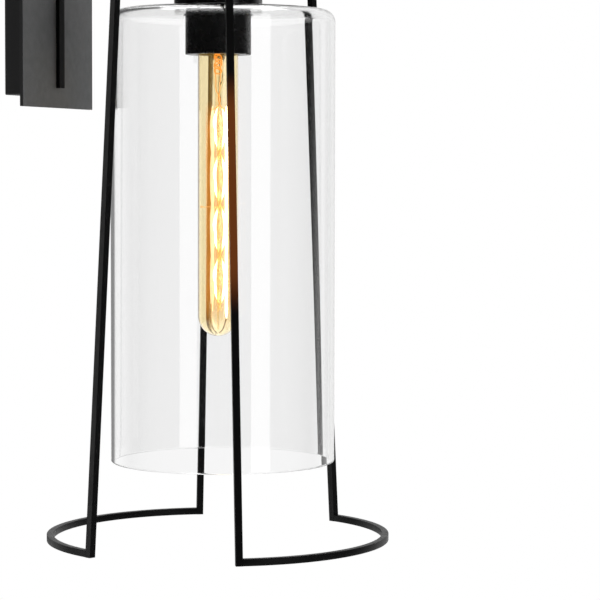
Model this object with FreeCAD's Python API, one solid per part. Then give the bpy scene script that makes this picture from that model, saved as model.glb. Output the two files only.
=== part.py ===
import FreeCAD, Part
import math
import os

# Outdoor wall lantern: an open cage of thin square bars round a clear glass cylinder,
# carried on an arm from a backplate.  Millimetres, +Z up, +Y into the wall, wall plane at y = 0.
# Heights below are counted up from the underside of the cage's bottom ring; save() moves every
# piece down by MOUNT_HEIGHT, so the origin is the centre of the strap that holds the lantern.

Vector = FreeCAD.Vector

# Backplate, pan and wall fixings
PLATE_WIDTH = 138.4
PLATE_HEIGHT = 254.0
PLATE_BOTTOM = 344.2
PLATE_THICK = 2.7
PAN_INSET = 9.1
PAN_DEPTH = 16.8
PAN_WALL = 1.5
MOUNT_HEIGHT = PLATE_BOTTOM + PLATE_HEIGHT / 2
SPINE_WIDTH = 10.0
SPINE_THICK = 3.0
SPINE_MARGIN = 16.1
STRAP_LENGTH = 109.0
STRAP_WIDTH = 25.0
STRAP_THICK = 2.0
BOX_SCREW_SPACING = 88.9
BOX_SLOT_LENGTH = 14.0
BOX_SLOT_RADIUS = 2.4
STUD_SPACING = 50.8
STUD_RADIUS = 2.1
STUD_REACH = 7.0
SMALL_SCREW_RADIUS = 1.5
SPINE_SCREW_BITE = 2.0
GROUND_SCREW_RADIUS = 1.7
HOLE_PLAY = 0.3
GASKET_WIDTH = 3.5
GASKET_THICK = 2.0

# Cage of square bars
BAR = 5.4
RING_OUTER = 136.5
LEG_ANGLE = math.radians(63.3)
LEG_TOP_X = 98.1
LEG_TOP_Y = 42.4
LEG_TOP_HEIGHT = 520.0
RING_RADIUS = RING_OUTER - BAR / 2
SPOKE_BOTTOM = 531.0
SPOKE_TOP = SPOKE_BOTTOM + BAR

# Lantern axis, arm, hub and cap
AXIS_OUT = 137.3 + PLATE_THICK + PAN_DEPTH
ARM_SIZE = 10.0
ARM_WALL = 1.5
ARM_HEIGHT = 543.0
HUB_RADIUS = 20.0
HUB_BOTTOM = 528.0
HUB_TOP = 553.0
HUB_WALL = 3.0
LID_THICK = 3.0
CAP_RADIUS = 34.9
CAP_BOTTOM = 424.5
CAP_TOP = 462.0
CAP_WALL = 1.5
CAP_ROOF = 2.0
STEM_RADIUS = 6.35
NIPPLE_RADIUS = 5.0
NIPPLE_BORE = 3.5
NIPPLE_BOTTOM = 441.0
NIPPLE_TOP = 535.0
NUT_HEIGHT = 3.0
THREAD_GAP = 0.05

# Glass shade and the collar that holds it
GLASS_RADIUS = 89.0
GLASS_WALL = 3.0
GLASS_BOTTOM = 62.7
GLASS_TOP = 421.0
GLASS_SHOULDER = 10.0
GLASS_HOLE = 23.4
GLASS_PLAY = 4.0
JOINT_GAP = 0.1
COLLAR_RADIUS = 26.0
COLLAR_BOTTOM = 385.5
COLLAR_LIP = 2.4
COLLAR_MOUTH = 16.8
COLLAR_BORE = 19.3
WASHER_RADIUS = 27.5
WASHER_THICK = 1.2

# Lamp socket
SOCKET_RADIUS = 19.0
SOCKET_BOTTOM = 393.0
SOCKET_FLOOR = 421.5
SOCKET_TOP = 437.0
SOCKET_BORE = 14.2
CHAMBER_RADIUS = 15.5
SHELL_THICK = 0.4
CHAMBER_FLOOR = 3.5
TERMINAL_X = 8.0
TERMINAL_RADIUS = 3.0
TERMINAL_HEAD = 3.0

# Tubular lamp
LAMP_RADIUS = 15.9
LAMP_WALL = 0.9
LAMP_TIP = 162.5
LAMP_SHOULDER = 388.4
LAMP_NECK_RADIUS = 12.4
LAMP_NECK_BOTTOM = 392.2
LAMP_NECK_TOP = 401.0
BASE_RADIUS = 13.1
BASE_BOTTOM = 392.6
BASE_TOP = 415.0
STEM_TIP = 343.6
FILAMENT_TOP = 340.0
FILAMENT_BOTTOM = 176.5
FILAMENT_CIRCLE = 8.5
FILAMENT_STRANDS = 6
FILAMENT_RADIUS = 0.6
SPIDER_HEIGHT = 264.9

# Wires inside the arm
WIRE_RADIUS = 1.1
WIRE_OFFSET = 1.3
WIRE_NUT_X = 14.0
WIRE_DEPTH = -8.0
WIRE_NUT_TOP = 510.0
WIRE_NUT_RADIUS = 5.0
WIRE_NUT_LENGTH = 20.0


# ---------------------------------------------------------------- helpers

def save(name, shape):
    """Write one piece, moved so that the origin is the centre of the mounting strap."""
    moved = shape.copy()
    moved.translate(Vector(0, 0, -MOUNT_HEIGHT))
    moved.exportStep("parts/" + name + ".step")
    print(name, "solids", len(moved.Solids), "volume", round(moved.Volume, 1), moved.isValid())


def on_axis(shape):
    """Move a shape that was built round the world's Z axis out to the lantern's axis."""
    moved = shape.copy()
    moved.translate(Vector(0, -AXIS_OUT, 0))
    return moved


def block(x_low, x_high, y_low, y_high, z_low, z_high):
    corner = Vector(x_low, y_low, z_low)
    return Part.makeBox(x_high - x_low, y_high - y_low, z_high - z_low, corner)


def upright(radius, low, high, x=0.0, y=0.0):
    """A vertical cylinder."""
    return Part.makeCylinder(radius, high - low, Vector(x, y, low))


def ring(outer, inner, low, high):
    return upright(outer, low, high).cut(upright(inner, low - 1, high + 1))


def outward_pin(radius, y_wall_side, y_room_side, x, z):
    """A cylinder along Y, from the wall side out to the room side."""
    length = y_wall_side - y_room_side
    return Part.makeCylinder(radius, length, Vector(x, y_wall_side, z), Vector(0, -1, 0))


def outward_hexagon(across_flats, y_wall_side, y_room_side, x, z):
    """A hexagonal prism along Y."""
    corner = across_flats / math.sqrt(3)
    points = []
    for step in range(7):
        angle = math.radians(60 * step + 30)
        points.append(Vector(x + corner * math.cos(angle), y_wall_side, z + corner * math.sin(angle)))
    face = Part.Face(Part.makePolygon(points))
    return face.extrude(Vector(0, y_room_side - y_wall_side, 0))


def rounded_plate(x_half, y_low, y_high, z_low, z_high, radius):
    """A flat plate with its four corners rounded, seen from the front."""
    plate = block(-x_half, x_half, y_low, y_high, z_low, z_high)
    corners = [edge for edge in plate.Edges if abs(edge.tangentAt(edge.FirstParameter).y) > 0.9]
    return plate.makeFillet(radius, corners)


def turned(start, steps):
    """Turn an outline round Z.  A step is (radius, height) for a straight edge, or
    ((radius, height) on the arc, (radius, height) at its end) for a round one."""
    here = Vector(start[0], 0, start[1])
    first = here
    edges = []
    for step in steps:
        if isinstance(step[0], tuple):
            middle = Vector(step[0][0], 0, step[0][1])
            there = Vector(step[1][0], 0, step[1][1])
            edges.append(Part.Arc(here, middle, there).toShape())
        else:
            there = Vector(step[0], 0, step[1])
            edges.append(Part.LineSegment(here, there).toShape())
        here = there
    if here.distanceToPoint(first) > 1e-6:
        edges.append(Part.LineSegment(here, first).toShape())
    face = Part.Face(Part.Wire(edges))
    return face.revolve(Vector(0, 0, 0), Vector(0, 0, 1), 360)


def arc_point(centre_radius, centre_height, radius, degrees):
    """A point of a circle in the turning plane; 0 degrees points outward, 90 up."""
    angle = math.radians(degrees)
    return (centre_radius + radius * math.cos(angle), centre_height + radius * math.sin(angle))


def bent_wire(points, radii, section_radius):
    """A round wire along straight runs joined by tangent arcs, one bend radius per corner."""
    edges = []
    here = points[0]
    for before, corner, after, radius in zip(points, points[1:], points[2:], radii):
        into = (corner - before).normalize()
        out = (after - corner).normalize()
        turn = into.getAngle(out)
        setback = radius * math.tan(turn / 2)
        start = corner - into * setback
        end = corner + out * setback
        bisector = (out - into).normalize()
        middle = corner + bisector * (radius / math.cos(turn / 2) - radius)
        edges.append(Part.LineSegment(here, start).toShape())
        edges.append(Part.Arc(start, middle, end).toShape())
        here = end
    edges.append(Part.LineSegment(here, points[-1]).toShape())
    path = Part.Wire(edges)
    direction = (points[1] - points[0]).normalize()
    section = Part.Wire([Part.makeCircle(section_radius, points[0], direction)])
    tube = path.makePipeShell([section], True, False)
    expected = math.pi * section_radius ** 2 * path.Length
    print("  wire length", round(path.Length, 1), "volume ratio", round(tube.Volume / expected, 4),
          "bend radii", radii)
    return tube


# ---------------------------------------------------------------- wall side

FRONT_OF_PAN = -PAN_DEPTH
FRONT_OF_PLATE = FRONT_OF_PAN - PLATE_THICK
FRONT_OF_SPINE = FRONT_OF_PLATE - SPINE_THICK
PLATE_TOP = PLATE_BOTTOM + PLATE_HEIGHT
PAN_HALF = PLATE_WIDTH / 2 - PAN_INSET
PAN_LOW = PLATE_BOTTOM + PAN_INSET
PAN_HIGH = PLATE_TOP - PAN_INSET
SPINE_LOW = PLATE_BOTTOM + SPINE_MARGIN
SPINE_HIGH = PLATE_TOP - SPINE_MARGIN
STUD_SIDES = (-STUD_SPACING / 2, STUD_SPACING / 2)
SPINE_SCREW_HEIGHTS = (SPINE_LOW + 20, MOUNT_HEIGHT, SPINE_HIGH - 60)
WIRE_HOLE_RADIUS = ARM_SIZE / 2 - ARM_WALL
GROUND_SCREW = (12.0, MOUNT_HEIGHT)
LUG_SCREW = (32.0, MOUNT_HEIGHT - 55)


def plate_holes():
    """Clearance holes through plate and pan: two studs, the spine screws and the wires."""
    holes = [outward_pin(STUD_RADIUS + HOLE_PLAY, 1, FRONT_OF_PLATE - 1, x, MOUNT_HEIGHT)
             for x in STUD_SIDES]
    for height in SPINE_SCREW_HEIGHTS:
        holes.append(outward_pin(SMALL_SCREW_RADIUS, 1, FRONT_OF_PLATE - 1, 0, height))
    holes.append(outward_pin(WIRE_HOLE_RADIUS, 1, FRONT_OF_PLATE - 1, 0, ARM_HEIGHT))
    return holes


def front_plate():
    plate = rounded_plate(PLATE_WIDTH / 2, FRONT_OF_PLATE, FRONT_OF_PAN, PLATE_BOTTOM, PLATE_TOP, 0.8)
    return plate.cut(plate_holes())


def back_pan():
    outside = rounded_plate(PAN_HALF, FRONT_OF_PAN, 0, PAN_LOW, PAN_HIGH, 1.5)
    inside = block(-PAN_HALF + PAN_WALL, PAN_HALF - PAN_WALL, FRONT_OF_PAN + PAN_WALL, 1,
                   PAN_LOW + PAN_WALL, PAN_HIGH - PAN_WALL)
    lug_hole = outward_pin(SMALL_SCREW_RADIUS, 1, FRONT_OF_PAN - 1, LUG_SCREW[0], LUG_SCREW[1])
    return outside.cut([inside, lug_hole] + plate_holes())


def wall_gasket():
    """A foam strip just inside the pan's rim, level with it at the wall."""
    side = PAN_HALF - PAN_WALL
    low = PAN_LOW + PAN_WALL
    high = PAN_HIGH - PAN_WALL
    outside = block(-side, side, -GASKET_THICK, 0, low, high)
    inside = block(-side + GASKET_WIDTH, side - GASKET_WIDTH, -GASKET_THICK - 1, 1,
                   low + GASKET_WIDTH, high - GASKET_WIDTH)
    return outside.cut(inside)


def mounting_strap():
    half = STRAP_LENGTH / 2
    strap = rounded_plate(half, -STRAP_THICK, 0, MOUNT_HEIGHT - STRAP_WIDTH / 2,
                          MOUNT_HEIGHT + STRAP_WIDTH / 2, 4.0)
    holes = [outward_pin(STUD_RADIUS, 1, -STRAP_THICK - 1, x, MOUNT_HEIGHT) for x in STUD_SIDES]
    holes.append(outward_pin(GROUND_SCREW_RADIUS, 1, -STRAP_THICK - 1, GROUND_SCREW[0], GROUND_SCREW[1]))
    straight = BOX_SLOT_LENGTH / 2 - BOX_SLOT_RADIUS
    for centre in (-BOX_SCREW_SPACING / 2, BOX_SCREW_SPACING / 2):
        slot = block(centre - straight, centre + straight, -STRAP_THICK - 1, 1,
                     MOUNT_HEIGHT - BOX_SLOT_RADIUS, MOUNT_HEIGHT + BOX_SLOT_RADIUS)
        for end in (centre - straight, centre + straight):
            slot = slot.fuse(outward_pin(BOX_SLOT_RADIUS, 1, -STRAP_THICK - 1, end, MOUNT_HEIGHT))
        holes.append(slot.removeSplitter())
    return strap.cut(holes)


def mounting_studs():
    """Two threaded studs that stand out of the strap and through the plate."""
    return Part.makeCompound([outward_pin(STUD_RADIUS, 0, FRONT_OF_PLATE - STUD_REACH, x, MOUNT_HEIGHT)
                              for x in STUD_SIDES])


def stud_nuts():
    """Hexagon nuts that lock the studs to the strap."""
    nuts = []
    for x in STUD_SIDES:
        nut = outward_hexagon(8.0, -STRAP_THICK, -STRAP_THICK - 3, x, MOUNT_HEIGHT)
        nuts.append(nut.cut(outward_pin(STUD_RADIUS, 1, -10, x, MOUNT_HEIGHT)))
    return Part.makeCompound(nuts)


def cap_nuts():
    """Round domed nuts on the front of the plate, blind inside for the stud ends."""
    dome_radius = 5.5
    skirt = 6.0
    nuts = []
    for x in STUD_SIDES:
        body = outward_pin(dome_radius, FRONT_OF_PLATE, FRONT_OF_PLATE - skirt, x, MOUNT_HEIGHT)
        ball = Part.makeSphere(dome_radius, Vector(x, FRONT_OF_PLATE - skirt, MOUNT_HEIGHT))
        room_side = block(x - 10, x + 10, FRONT_OF_PLATE - 20, FRONT_OF_PLATE - skirt,
                          MOUNT_HEIGHT - 10, MOUNT_HEIGHT + 10)
        nut = body.fuse(ball.common(room_side)).removeSplitter()
        nuts.append(nut.cut(outward_pin(STUD_RADIUS, 0, FRONT_OF_PLATE - STUD_REACH, x, MOUNT_HEIGHT)))
    return Part.makeCompound(nuts)


def pan_screw(x, z, seat, shank_end, head_radius, head_height):
    """A round-headed screw seen from the wall, its head on the wall side of its seat."""
    head = outward_pin(head_radius, seat + head_height, seat, x, z)
    shank = outward_pin(SMALL_SCREW_RADIUS, seat, shank_end, x, z)
    return head.fuse(shank).removeSplitter()


def spine_screws():
    """Screws from inside the pan, through pan and plate, into the spine bar."""
    seat = FRONT_OF_PAN + PAN_WALL
    end = FRONT_OF_PLATE - SPINE_SCREW_BITE
    return Part.makeCompound([pan_screw(0, height, seat, end, 3.0, 2.2) for height in SPINE_SCREW_HEIGHTS])


def ground_screw():
    """Hexagon-headed ground screw in the strap."""
    x, z = GROUND_SCREW
    head = outward_hexagon(7.0, -STRAP_THICK, -STRAP_THICK - 3, x, z)
    return head.fuse(outward_pin(GROUND_SCREW_RADIUS, 0, -STRAP_THICK, x, z))


def pan_lug_screw():
    """Ground lug screw in the pan's front wall."""
    x, z = LUG_SCREW
    return pan_screw(x, z, FRONT_OF_PAN + PAN_WALL, FRONT_OF_PAN, 3.5, 2.5)


def spine_bar():
    """Flat bar down the middle of the plate's face, tapped for its screws."""
    bar = block(-SPINE_WIDTH / 2, SPINE_WIDTH / 2, FRONT_OF_SPINE, FRONT_OF_PLATE, SPINE_LOW, SPINE_HIGH)
    end = FRONT_OF_PLATE - SPINE_SCREW_BITE
    holes = [outward_pin(SMALL_SCREW_RADIUS, 0, end, 0, height) for height in SPINE_SCREW_HEIGHTS]
    holes.append(outward_pin(WIRE_HOLE_RADIUS, 0, FRONT_OF_SPINE - 1, 0, ARM_HEIGHT))
    return bar.cut(holes)


def arm_tube():
    """Hollow square arm from the spine to the hub, its end shaped to the hub's round side."""
    half = ARM_SIZE / 2
    inner = half - ARM_WALL
    outside = block(-half, half, -AXIS_OUT, FRONT_OF_SPINE, ARM_HEIGHT - half, ARM_HEIGHT + half)
    bore = block(-inner, inner, -AXIS_OUT - 1, FRONT_OF_SPINE + 1, ARM_HEIGHT - inner, ARM_HEIGHT + inner)
    return outside.cut([bore, on_axis(upright(HUB_RADIUS, HUB_BOTTOM - 10, HUB_TOP + 10))])


# ---------------------------------------------------------------- cage

def leg_line(x_side, y_side):
    """Bottom point and unit direction of one leg's centre line, round the lantern's axis."""
    low = Vector(x_side * RING_RADIUS * math.sin(LEG_ANGLE), y_side * RING_RADIUS * math.cos(LEG_ANGLE), 0)
    high = Vector(x_side * LEG_TOP_X, y_side * LEG_TOP_Y, LEG_TOP_HEIGHT)
    return low, (high - low).normalize()


def leg(x_side, y_side):
    """A straight square bar that leans inward, cut level at both ends."""
    low, along = leg_line(x_side, y_side)
    outward = Vector(low.x, low.y, 0).normalize()
    outward = (outward - along * outward.dot(along)).normalize()
    sideways = along.cross(outward)
    spare = 10.0
    bar = Part.makeBox(BAR, BAR, SPOKE_TOP + 2 * spare, Vector(-BAR / 2, -BAR / 2, -spare))
    turn = FreeCAD.Matrix(outward.x, sideways.x, along.x, low.x,
                          outward.y, sideways.y, along.y, low.y,
                          outward.z, sideways.z, along.z, low.z,
                          0, 0, 0, 1)
    bar.transformShape(turn)
    level = block(-200, 200, -200, 200, 0, SPOKE_TOP)
    return bar.common(level)


def ring_arc(y_side, legs):
    """Half of the open bottom ring: a square bar bent round the axis between two legs."""
    end_angle = math.degrees(LEG_ANGLE - BAR / 2 / RING_RADIUS)
    middle = 90.0 if y_side > 0 else 270.0
    section = Part.Face(Part.makePolygon([
        Vector(RING_OUTER - BAR, 0, 0), Vector(RING_OUTER, 0, 0),
        Vector(RING_OUTER, 0, BAR), Vector(RING_OUTER - BAR, 0, BAR),
        Vector(RING_OUTER - BAR, 0, 0)]))
    section.rotate(Vector(0, 0, 0), Vector(0, 0, 1), middle - end_angle)
    arc = section.revolve(Vector(0, 0, 0), Vector(0, 0, 1), 2 * end_angle)
    return arc.cut(legs)


def spoke(x_side, y_side, leg_shape):
    """A level bar from the hub's side to the top of a leg."""
    low, along = leg_line(x_side, y_side)
    end = low + along * (SPOKE_BOTTOM / along.z)
    reach = math.hypot(end.x, end.y)
    bar = block(0, reach, -BAR / 2, BAR / 2, SPOKE_BOTTOM, SPOKE_TOP)
    bar.rotate(Vector(0, 0, 0), Vector(0, 0, 1), math.degrees(math.atan2(end.y, end.x)))
    return bar.cut([leg_shape, upright(HUB_RADIUS, SPOKE_BOTTOM - 1, SPOKE_TOP + 1)])


def hub_cup():
    """A short round cup where the arm, the spokes and the stem meet."""
    outside = upright(HUB_RADIUS, HUB_BOTTOM, HUB_TOP)
    inside = upright(HUB_RADIUS - HUB_WALL, HUB_BOTTOM + HUB_WALL, HUB_TOP + 1)
    nipple_hole = upright(NIPPLE_RADIUS + THREAD_GAP, HUB_BOTTOM - 1, HUB_TOP)
    inner = ARM_SIZE / 2 - ARM_WALL
    wire_hole = block(-inner, inner, 0, HUB_RADIUS + 1, ARM_HEIGHT - inner, ARM_HEIGHT + inner)
    return outside.cut([inside, nipple_hole, wire_hole])


def hub_lid():
    """Domed lid with a spigot that drops into the hub."""
    base = HUB_TOP
    edge = HUB_RADIUS + 1.5
    dome_rise = 5.0
    spigot = HUB_RADIUS - HUB_WALL - 0.2
    lid = turned((0, base - LID_THICK),
                 [(spigot, base - LID_THICK), (spigot, base),
                  (edge, base), (edge, base + 1.5),
                  ((edge * 0.55, base + 1.5 + dome_rise * 0.8), (4.0, base + 1.5 + dome_rise)),
                  (0, base + 1.5 + dome_rise)])
    return lid.cut(upright(2.5, base - LID_THICK - 1, base + 20))


def finial():
    """Turned knob whose screw holds the lid."""
    seat = HUB_TOP + 6.5
    knob = turned((0, seat), [
        (4.0, seat), (3.2, seat + 3), (4.0, seat + 5), ((8.0, seat + 11), (4.0, seat + 17)),
        (2.0, seat + 18.5), (0, seat + 18.5)])
    return knob.fuse(upright(2.5, HUB_TOP - LID_THICK - 2, seat)).removeSplitter()


# ---------------------------------------------------------------- stem, cap and socket

def stem_tube():
    """Cover tube between the cap and the hub, round the threaded nipple."""
    return ring(STEM_RADIUS, STEM_RADIUS - 1.0, CAP_TOP, HUB_BOTTOM)


def threaded_nipple():
    return ring(NIPPLE_RADIUS, NIPPLE_BORE, NIPPLE_BOTTOM, NIPPLE_TOP)


def lock_nut(low):
    """A thin hexagon nut round the nipple."""
    corner = 14.0 / math.sqrt(3)
    points = []
    for step in range(7):
        angle = math.radians(60 * step)
        points.append(Vector(corner * math.cos(angle), corner * math.sin(angle), low))
    prism = Part.Face(Part.makePolygon(points)).extrude(Vector(0, 0, NUT_HEIGHT))
    return prism.cut(upright(NIPPLE_RADIUS + THREAD_GAP, low - 1, low + NUT_HEIGHT + 1))


def lock_nuts():
    """Nuts inside the hub and inside the cap, drawn up on the nipple."""
    return Part.makeCompound([lock_nut(HUB_BOTTOM + HUB_WALL), lock_nut(CAP_TOP - CAP_ROOF - NUT_HEIGHT)])


def glass_cap():
    """Round cap over the top of the glass: a deep inverted cup with a rolled top edge."""
    outer = CAP_RADIUS
    inner = CAP_RADIUS - CAP_WALL
    roll = 3.0
    centre = outer - roll
    hole = NIPPLE_RADIUS + THREAD_GAP
    return turned((inner, CAP_BOTTOM), [
        (outer, CAP_BOTTOM), (outer, CAP_TOP - roll),
        (arc_point(centre, CAP_TOP - roll, roll, 45), (centre, CAP_TOP)),
        (hole, CAP_TOP), (hole, CAP_TOP - CAP_ROOF), (centre, CAP_TOP - CAP_ROOF),
        (arc_point(centre, CAP_TOP - roll, roll - CAP_ROOF, 45), (centre + roll - CAP_ROOF, CAP_TOP - roll)),
        (inner, CAP_TOP - roll)])


def cap_gasket():
    """Clear silicone ring between the cap and the glass."""
    return ring(CAP_RADIUS - 0.6, CAP_RADIUS - 6, GLASS_TOP + JOINT_GAP, CAP_BOTTOM)


def socket_body():
    """Moulded socket: a bore for the screw shell below and a wiring chamber above."""
    body = upright(SOCKET_RADIUS, SOCKET_BOTTOM, SOCKET_TOP)
    bore = upright(SOCKET_BORE, SOCKET_BOTTOM - 1, SOCKET_FLOOR)
    chamber = upright(CHAMBER_RADIUS, SOCKET_FLOOR + CHAMBER_FLOOR, SOCKET_TOP + 1)
    rivets = [upright(1.5, SOCKET_FLOOR - 1, SOCKET_TOP, x) for x in (-TERMINAL_X, TERMINAL_X)]
    return body.cut([bore, chamber] + rivets)


def socket_cap():
    """Socket cover with a threaded neck for the nipple."""
    neck_top = SOCKET_TOP + 11
    thread = NIPPLE_RADIUS + THREAD_GAP
    return turned((thread, NIPPLE_BOTTOM), [
        (thread, neck_top), (9.0, neck_top), (9.0, SOCKET_TOP + 3), (SOCKET_RADIUS, SOCKET_TOP + 3),
        (SOCKET_RADIUS, SOCKET_TOP), (NIPPLE_BORE, SOCKET_TOP), (NIPPLE_BORE, NIPPLE_BOTTOM)])


def socket_screw_shell():
    """Thin metal sleeve that the lamp screws into, riveted through at one side."""
    return ring(SOCKET_BORE, SOCKET_BORE - SHELL_THICK, SOCKET_BOTTOM + 1, SOCKET_FLOOR - 1)


def centre_contact():
    """Sprung brass leaf at the top of the socket's bore."""
    leaf = block(-5, 5, -3, 3, SOCKET_FLOOR - 1.2, SOCKET_FLOOR - 0.4)
    foot = upright(2.2, SOCKET_FLOOR - 0.4, SOCKET_FLOOR)
    return leaf.fuse(foot).removeSplitter()


def terminal_screws():
    screws = []
    for x in (-TERMINAL_X, TERMINAL_X):
        head_low = SOCKET_FLOOR + CHAMBER_FLOOR
        head = upright(TERMINAL_RADIUS, head_low, head_low + TERMINAL_HEAD, x)
        shank = upright(1.5, SOCKET_FLOOR, head_low, x)
        screws.append(head.fuse(shank).removeSplitter())
    return Part.makeCompound(screws)


# ---------------------------------------------------------------- glass shade and collar

def glass_shade():
    """Clear cylinder, open below, with a rounded shoulder and a hole in its flat top.
    It hangs loose on the washer, so it lies GLASS_PLAY further out from the wall than the socket."""
    outer = GLASS_RADIUS
    inner = GLASS_RADIUS - GLASS_WALL
    centre = outer - GLASS_SHOULDER
    level = GLASS_TOP - GLASS_SHOULDER
    bead = GLASS_WALL / 2
    glass = turned((outer, GLASS_BOTTOM + bead), [
        (outer, level),
        (arc_point(centre, level, GLASS_SHOULDER, 45), (centre, GLASS_TOP)),
        (GLASS_HOLE, GLASS_TOP), (GLASS_HOLE, GLASS_TOP - GLASS_WALL), (centre, GLASS_TOP - GLASS_WALL),
        (arc_point(centre, level, GLASS_SHOULDER - GLASS_WALL, 45), (inner, level)),
        (inner, GLASS_BOTTOM + bead),
        ((outer - bead, GLASS_BOTTOM), (outer, GLASS_BOTTOM + bead))])
    glass.translate(Vector(0, -GLASS_PLAY, 0))
    return glass


def collar_washer():
    """Flat washer between the glass and the collar."""
    high = GLASS_TOP - GLASS_WALL - JOINT_GAP
    return ring(WASHER_RADIUS, COLLAR_BORE, high - WASHER_THICK, high)


def shade_collar():
    """Screwed collar round the socket: a short black cup with a mouth for the lamp."""
    high = GLASS_TOP - GLASS_WALL - JOINT_GAP - WASHER_THICK
    lip_top = COLLAR_BOTTOM + COLLAR_LIP
    soft = 0.6
    centre = COLLAR_RADIUS - soft
    turn_height = COLLAR_BOTTOM + soft
    return turned((COLLAR_MOUTH, COLLAR_BOTTOM), [
        (centre, COLLAR_BOTTOM),
        (arc_point(centre, turn_height, soft, -45), (COLLAR_RADIUS, turn_height)),
        (COLLAR_RADIUS, high), (COLLAR_BORE, high), (COLLAR_BORE, lip_top), (COLLAR_MOUTH, lip_top)])


# ---------------------------------------------------------------- lamp

def lamp_outline(radius, neck, tip, shoulder, neck_bottom, top):
    """The lamp's tube: a round end below, a shoulder and a narrow neck above."""
    rise = neck_bottom - shoulder
    drop = radius - neck
    bulge = (neck + drop * math.cos(math.radians(45)), shoulder + rise * math.sin(math.radians(45)))
    return turned((0, tip), [
        (arc_point(0, tip + radius, radius, -45), (radius, tip + radius)),
        (radius, shoulder), (bulge, (neck, neck_bottom)), (neck, top), (0, top)])


def lamp_envelope():
    """Sealed glass tube of the lamp, hollow all through."""
    outside = lamp_outline(LAMP_RADIUS, LAMP_NECK_RADIUS, LAMP_TIP, LAMP_SHOULDER,
                           LAMP_NECK_BOTTOM, LAMP_NECK_TOP)
    inside = lamp_outline(LAMP_RADIUS - LAMP_WALL, LAMP_NECK_RADIUS - LAMP_WALL, LAMP_TIP + LAMP_WALL,
                          LAMP_SHOULDER - 0.3, LAMP_NECK_BOTTOM - 0.3, LAMP_NECK_TOP - 2)
    return outside.cut(inside)


def lamp_base_shell():
    """Metal screw cap of the lamp, here as a sleeve with a turned-in top."""
    inner = BASE_RADIUS - 0.6
    return turned((inner, BASE_BOTTOM), [
        (BASE_RADIUS, BASE_BOTTOM), (BASE_RADIUS, BASE_TOP - 2), (10.0, BASE_TOP), (7.0, BASE_TOP),
        (7.0, BASE_TOP - 0.6), (9.6, BASE_TOP - 0.6), (inner, BASE_TOP - 2.4)])


def lamp_insulator():
    """Black glass insulator between the screw cap and the contact."""
    return turned((4.0, BASE_TOP + 2.5), [(7.0, BASE_TOP + 0.4), (7.0, BASE_TOP), (4.0, BASE_TOP)])


def lamp_contact():
    """Soldered contact in the middle of the insulator."""
    return turned((0, BASE_TOP), [(4.0, BASE_TOP), (4.0, BASE_TOP + 2.6), (2.8, BASE_TOP + 3.6),
                                  (1.2, BASE_TOP + 4.0), (0, BASE_TOP + 4.0)])


def lamp_stem():
    """Glass mount inside the lamp: a flared foot, a rod and a flat pinch."""
    foot = LAMP_NECK_TOP - 2.0
    return turned((0, STEM_TIP), [
        ((1.8, STEM_TIP + 0.6), (2.4, STEM_TIP + 2.4)), (2.4, STEM_TIP + 14), (4.2, STEM_TIP + 20),
        (4.2, foot - 22), (LAMP_NECK_RADIUS - LAMP_WALL - 0.2, foot - 2),
        (LAMP_NECK_RADIUS - LAMP_WALL - 0.2, foot), (0, foot)])


def lamp_support():
    """Glass rod down the middle of the filament, and the wire cross that steadies it."""
    rod = upright(0.9, FILAMENT_BOTTOM + 4, STEM_TIP - 0.1)
    arms = [Part.makeCylinder(0.25, 13.0, Vector(-6.5, 0, SPIDER_HEIGHT), Vector(1, 0, 0)),
            Part.makeCylinder(0.25, 13.0, Vector(0, -6.5, SPIDER_HEIGHT), Vector(0, 1, 0))]
    return rod.fuse(arms).removeSplitter()


def lamp_filament():
    """Upright strands of filament on a circle round the glass rod."""
    strands = []
    for index in range(FILAMENT_STRANDS):
        angle = 2 * math.pi * (index + 0.5) / FILAMENT_STRANDS
        x = FILAMENT_CIRCLE * math.cos(angle)
        y = FILAMENT_CIRCLE * math.sin(angle)
        strands.append(upright(FILAMENT_RADIUS, FILAMENT_BOTTOM, FILAMENT_TOP, x, y))
    return Part.makeCompound(strands)


# ---------------------------------------------------------------- wiring

def lamp_wire(x_side):
    """One insulated wire, from its wire nut through the arm and nipple to a terminal."""
    x = x_side * WIRE_OFFSET
    nut_x = x_side * WIRE_NUT_X
    end_x = x_side * TERMINAL_X
    head_top = SOCKET_FLOOR + CHAMBER_FLOOR + TERMINAL_HEAD
    points = [Vector(nut_x, WIRE_DEPTH, WIRE_NUT_TOP),
              Vector(nut_x, WIRE_DEPTH, WIRE_NUT_TOP + 12),
              Vector(x, WIRE_DEPTH, ARM_HEIGHT),
              Vector(x, -AXIS_OUT, ARM_HEIGHT),
              Vector(x, -AXIS_OUT, SOCKET_TOP - 1.0),
              Vector(end_x, -AXIS_OUT, head_top + 2.5),
              Vector(end_x, -AXIS_OUT, head_top)]
    return bent_wire(points, (14.0, 6.0, 7.0, 5.0, 5.0), WIRE_RADIUS)


def ground_wire():
    """Ground wire from the strap's ground screw to the lug in the pan."""
    start_x, start_height = GROUND_SCREW
    end_x, end_height = LUG_SCREW
    near_strap = -STRAP_THICK - 1.6
    near_pan = FRONT_OF_PAN + PAN_WALL + 1.3
    points = [Vector(start_x, near_strap, start_height - 4.3),
              Vector(start_x, near_strap, start_height - 18),
              Vector(start_x + 7, -8, start_height - 29),
              Vector(end_x, near_pan, start_height - 40),
              Vector(end_x, near_pan, end_height + 3.7)]
    return bent_wire(points, (7.0, 7.0, 7.0), WIRE_RADIUS)


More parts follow.
